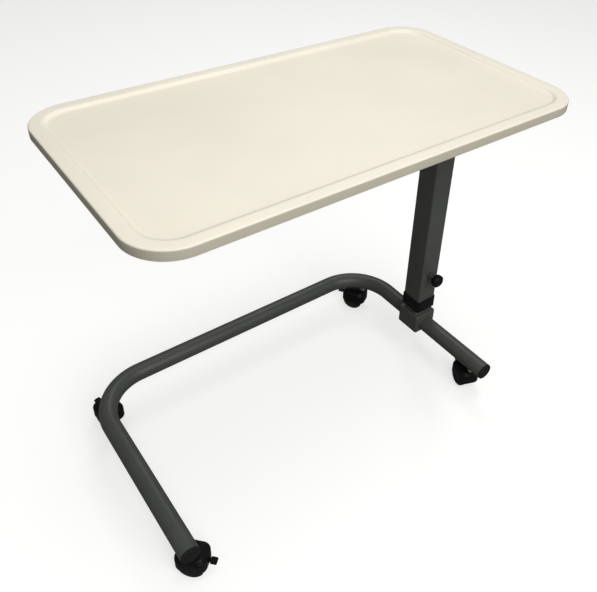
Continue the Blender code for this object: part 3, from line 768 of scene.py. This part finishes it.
def make_hood():
    """Hood with round shoulders, a pocket for each wheel, a web and a slot for the brake."""
    length = HOOD_BACK - HOOD_FRONT
    centre_x = (HOOD_BACK + HOOD_FRONT) / 2
    profile = filleted((
        (0.0, HOOD_BOTTOM, 0),
        (0.0, 46 * MM, 6 * MM),
        (6 * MM, HOOD_TOP - 1.5 * MM, 7 * MM),
        (16 * MM, HOOD_TOP, 0),
    ), 8)
    rings = []
    for inset, z in profile:
        width = 2 * (HOOD_HALF_WIDTH - inset)
        outline = rounded_rectangle(length - 2 * inset, width, HOOD_CORNER - 0.8 * inset, 14)
        rings.append([(centre_x + x, y, z) for x, y in outline])
    hood = mesh_object("hood", skin(rings), "black")

    across = at(TRAIL, 0, WHEEL_RADIUS) @ Matrix.Rotation(math.radians(-90), 4, "X")
    pocket_radius = WHEEL_RADIUS + POCKET_PLAY
    for side in (-1, 1):
        profile = filleted((
            (pocket_radius, side * WEB_HALF, 0),
            (pocket_radius, side * 17 * MM, 4 * MM),
            (pocket_radius - 5 * MM, side * 23.3 * MM, 0),
        ), 6)
        combine(hood, turned(profile, 96), "DIFFERENCE", across)
    combine(hood, prism(circle(HUB_RADIUS, 40), -WEB_HALF, WEB_HALF), "UNION", across)
    axle_bore = prism(circle(AXLE_RADIUS + GAP, 32), -CUTTER_HALF, CUTTER_HALF)
    combine(hood, axle_bore, "DIFFERENCE", across)
    socket = STEM_RADIUS + GAP
    combine(hood, turned((
        (socket, 37 * MM),
        (socket, 42 * MM),
        (socket + 0.8 * MM, 43 * MM),
        (socket + 0.8 * MM, 45 * MM),
        (socket, 46 * MM),
        (socket, 60 * MM),
    ), 32), "DIFFERENCE")
    pivot_x, pivot_z = BRAKE_PIVOT
    for size, reach, drop, rise in ((14, 2, 8.5, 15.5), (20, 8, 7, 11)):
        bottom, top = pivot_z - drop * MM, pivot_z + (rise - drop) * MM
        slot = slab(size * MM, 9.2 * MM, 1 * MM, bottom, top, 0.2 * MM, 3)
        combine(hood, slot, "DIFFERENCE", at(pivot_x + reach * MM, 0))
    pin = prism(circle(PIN_RADIUS, 24), -CUTTER_HALF, CUTTER_HALF)
    combine(hood, pin, "DIFFERENCE", facing_front(pivot_x, 0, pivot_z))
    soften(hood, 0.45 * MM, 2)
    return hood


def make_lever():
    """Brake lever: a cam round its pin, a neck and a wide pad with grip ribs."""
    pin_axis = Matrix.Rotation(math.radians(90), 4, "X")
    cam = turned(filleted((
        (0.5 * MM, -LEVER_HALF, 0),
        (LEVER_HALF, -LEVER_HALF, 0.4 * MM),
        (LEVER_HALF, LEVER_HALF, 0.4 * MM),
        (0.5 * MM, LEVER_HALF, 0),
    ), 3), 40)
    lever = mesh_object("lever", cam, "black")
    lever.data.transform(pin_axis)
    neck = slab(12 * MM, 7.6 * MM, 0.8 * MM, -1.8 * MM, 1.8 * MM, 0.3 * MM, 4)
    combine(lever, neck, "UNION", at(8 * MM, 0))
    pad = slab(12.8 * MM, 13.5 * MM, 2.2 * MM, -2.2 * MM, 1.9 * MM, 0.7 * MM, 8)
    combine(lever, pad, "UNION", at(16.3 * MM, 0))
    for rib in range(4):
        ridge = slab(1.3 * MM, 10 * MM, 0.5 * MM, 1.2 * MM, 2.2 * MM, 0.25 * MM, 4)
        combine(lever, ridge, "UNION", at((13.0 + 2.4 * rib) * MM, 0))
    combine(lever, prism(circle(PIN_RADIUS, 24), -CUTTER_HALF, CUTTER_HALF), "DIFFERENCE", pin_axis)
    return lever


def make_wheel():
    """Wheel with a crowned tread, a shoulder, a dished face and a raised hub ring."""
    bore = AXLE_RADIUS + GAP
    wide = WHEEL_WIDTH
    profile = filleted((
        (bore, 0.0, 0.2 * MM),
        (9 * MM, 0.0, 0.2 * MM),
        (10 * MM, 1.0 * MM, 0.3 * MM),
        (21 * MM, 1.0 * MM, 0.3 * MM),
        (22 * MM, 0.0, 0.2 * MM),
        (WHEEL_RADIUS, 0.0, 1.5 * MM),
        (WHEEL_RADIUS, wide - 3.5 * MM, 3.5 * MM),
        (WHEEL_RADIUS - 4.2 * MM, wide, 1.2 * MM),
        (WHEEL_RADIUS - 5.6 * MM, wide, 0.6 * MM),
        (WHEEL_RADIUS - 7.5 * MM, wide - 1.8 * MM, 1.2 * MM),
        (9 * MM, wide - 1.8 * MM, 0.6 * MM),
        (8 * MM, wide - 1.0 * MM, 0.4 * MM),
        (bore, wide - 1.0 * MM, 0.3 * MM),
    ), 4, closed=True)
    return mesh_object("wheel", turned(profile, 96, closed=True), "tread")


def make_nut():
    """Hexagon nut with both faces chamfered and a threaded bore."""
    low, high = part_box("stem_nut_front_left")
    nut = mesh_object("nut", prism(circle(NUT_RADIUS, 6), low.z, high.z), "zinc", None, 20)
    chamfer = turned((
        (6.4 * MM, low.z), (7.7 * MM, low.z + 0.9 * MM), (7.7 * MM, high.z - 0.9 * MM), (6.4 * MM, high.z),
    ), 64)
    combine(nut, chamfer, "INTERSECT")
    combine(nut, prism(circle(STEM_RADIUS + GAP, 32), 50 * MM, 70 * MM), "DIFFERENCE")
    return nut


def make_axle():
    """Axle with rounded ends, along Z."""
    profile = filleted((
        (0.4 * MM, -AXLE_HALF, 0),
        (AXLE_RADIUS, -AXLE_HALF, 0.7 * MM),
        (AXLE_RADIUS, AXLE_HALF, 0.7 * MM),
        (0.4 * MM, AXLE_HALF, 0),
    ), 5)
    return mesh_object("axle", turned(profile, 40), "zinc")


def placed(source, name, place):
    """A copy of the source in its place.  Its turn goes into the mesh, which keeps its box tight."""
    mesh = source.data.copy()
    mesh.transform(place.to_3x3().to_4x4())
    made = bpy.data.objects.new(name, mesh)
    bpy.context.scene.collection.objects.link(made)
    made.location = place.translation
    return made


def make_casters():
    """Four casters, each turned to its own heading round its stem."""
    sources = {
        "hood": make_hood(),
        "lever": make_lever(),
        "wheel": make_wheel(),
        "nut": make_nut(),
        "axle": make_axle(),
    }
    pivot_x, pivot_z = BRAKE_PIVOT
    for name, heading in HEADINGS.items():
        stem = middle("caster_stem_" + name)
        turn = at(stem.x, stem.y) @ Matrix.Rotation(math.radians(heading), 4, "Z")
        across = turn @ at(TRAIL, 0, WHEEL_RADIUS) @ Matrix.Rotation(math.radians(-90), 4, "X")
        swivel = "swivel_" + name
        stand_in(placed(sources["hood"], "hood_" + name, turn), swivel, "black", "caster_hood_" + name)
        stand_in(placed(sources["nut"], "nut_" + name, turn), "base", "zinc", "stem_nut_" + name)
        stand_in(placed(sources["axle"], "axle_" + name, across), swivel, "zinc", "caster_axle_" + name)
        for side, flip in (("left", 0), ("right", 180)):
            spun = across @ Matrix.Rotation(math.radians(flip), 4, "X") @ at(0, 0, WHEEL_INNER_Y)
            wheel = placed(sources["wheel"], f"tyre_{name}_{side}", spun)
            stand_in(wheel, f"wheel_{name}_{side}", "tread", f"wheel_{name}_{side}")
        lever = placed(sources["lever"], "lever_" + name, turn @ at(pivot_x, 0, pivot_z))
        stand_in(lever, "brake_" + name, "black", "brake_lever_" + name)
    for source in sources.values():
        bpy.data.objects.remove(source)


def refinish_cad_nodes():
    """Pieces whose CAD shape stays: out of sight, or plain round rods."""
    kept = {
        "upper_glide": "black", "clamp_pad": "black", "clamp_screw": "zinc",
        "post_plug": "zinc", "post_bolt": "zinc",
    }
    for name in HEADINGS:
        kept["caster_stem_" + name] = "zinc"
        kept["brake_pin_" + name] = "zinc"
    for node, finish in kept.items():
        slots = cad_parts[node].material_slots
        for index in range(len(slots)):
            slots[index].material = FINISH[finish]


# ---------------------------------------------------------------- stage

def floor_material():
    """White to the camera and dark to other rays, so its bounce doesn't flatten the table."""
    material = bpy.data.materials.new("floor_white")
    material.use_nodes = True
    tree = material.node_tree
    shader = tree.nodes["Principled BSDF"]
    shader.inputs["Roughness"].default_value = 0.9
    shader.inputs["Specular IOR Level"].default_value = 0.0
    shader.inputs["Emission Color"].default_value = (1, 1, 0.99, 1)
    seen = tree.nodes.new("ShaderNodeLightPath").outputs["Is Camera Ray"]
    tree.links.new(blend(tree, seen, (0.24, 0.24, 0.23), (0.45, 0.45, 0.445)), shader.inputs["Base Color"])
    tree.links.new(scaled_value(tree, seen, 0.62), shader.inputs["Emission Strength"])
    return material


def make_floor():
    """Large pale floor, a little under the wheels."""
    level = cad_low.z - FLOOR_DROP
    bm = bmesh.new()
    corners = []
    for x, y in ((-1, -1), (1, -1), (1, 1), (-1, 1)):
        corners.append(bm.verts.new((x * FLOOR_REACH, y * FLOOR_REACH, level)))
    bm.faces.new(corners)
    mesh = bpy.data.meshes.new("floor")
    bm.to_mesh(mesh)
    bm.free()
    mesh.materials.append(floor_material())
    floor = bpy.data.objects.new("floor", mesh)
    bpy.context.scene.collection.objects.link(floor)


def add_light(name, direction, distance, size, power):
    """Square soft light that looks at the table's middle from a direction."""
    target = (cad_low + cad_high) / 2
    toward = Vector(direction).normalized()
    data = bpy.data.lights.new(name, "AREA")
    data.shape = "SQUARE"
    data.size = size
    data.energy = power
    light = bpy.data.objects.new(name, data)
    light.location = target + toward * distance
    light.rotation_mode = "QUATERNION"
    light.rotation_quaternion = toward.to_track_quat("Z", "Y")
    bpy.context.scene.collection.objects.link(light)


def make_lights():
    """A front, an overhead and a small back light, in a dim room that the camera sees as white."""
    add_light("front_light", (-0.1, -0.8, 0.6), 3.2, 2.4, 74)
    add_light("overhead_light", (0.05, -0.05, 1.0), 3.0, 1.8, 42)
    add_light("back_light", (0.45, 0.5, 0.74), 3.4, 0.7, 16)
    world = bpy.data.worlds.new("studio")
    world.use_nodes = True
    tree = world.node_tree
    background = tree.nodes["Background"]
    seen = tree.nodes.new("ShaderNodeLightPath").outputs["Is Camera Ray"]
    tree.links.new(blend(tree, seen, ROOM_GREY, (1, 1, 0.99)), background.inputs["Color"])
    bpy.context.scene.world = world


def make_camera():
    """Camera at the photograph's angle: its place and axes in the table's own frame."""
    right = Vector((0.7958, -0.60434, 0.03842))
    down = Vector((-0.32234, -0.47646, -0.81797))
    ahead = Vector((0.51263, 0.63856, -0.57397))
    top = middle("table_top")
    data = bpy.data.cameras.new("camera")
    data.sensor_width = 36.0
    data.lens = 42.2
    data.shift_x = -0.0625
    data.shift_y = -0.118
    camera = bpy.data.objects.new("camera", data)
    camera.matrix_world = Matrix((
        (right.x, -down.x, -ahead.x, top.x - 0.6557),
        (right.y, -down.y, -ahead.y, top.y - 0.8856),
        (right.z, -down.z, -ahead.z, 1.2598),
        (0, 0, 0, 1),
    ))
    bpy.context.scene.collection.objects.link(camera)
    bpy.context.scene.camera = camera
    bpy.context.scene.view_settings.view_transform = "Standard"


make_top()
make_rail("support_rail_front")
make_rail("support_rail_back")
make_head_plate()
make_head_bolts()
make_top_screws()
make_mast()
make_clamp()
make_base()
make_casters()
refinish_cad_nodes()
make_floor()
make_lights()
make_camera()

bpy.context.view_layer.update()
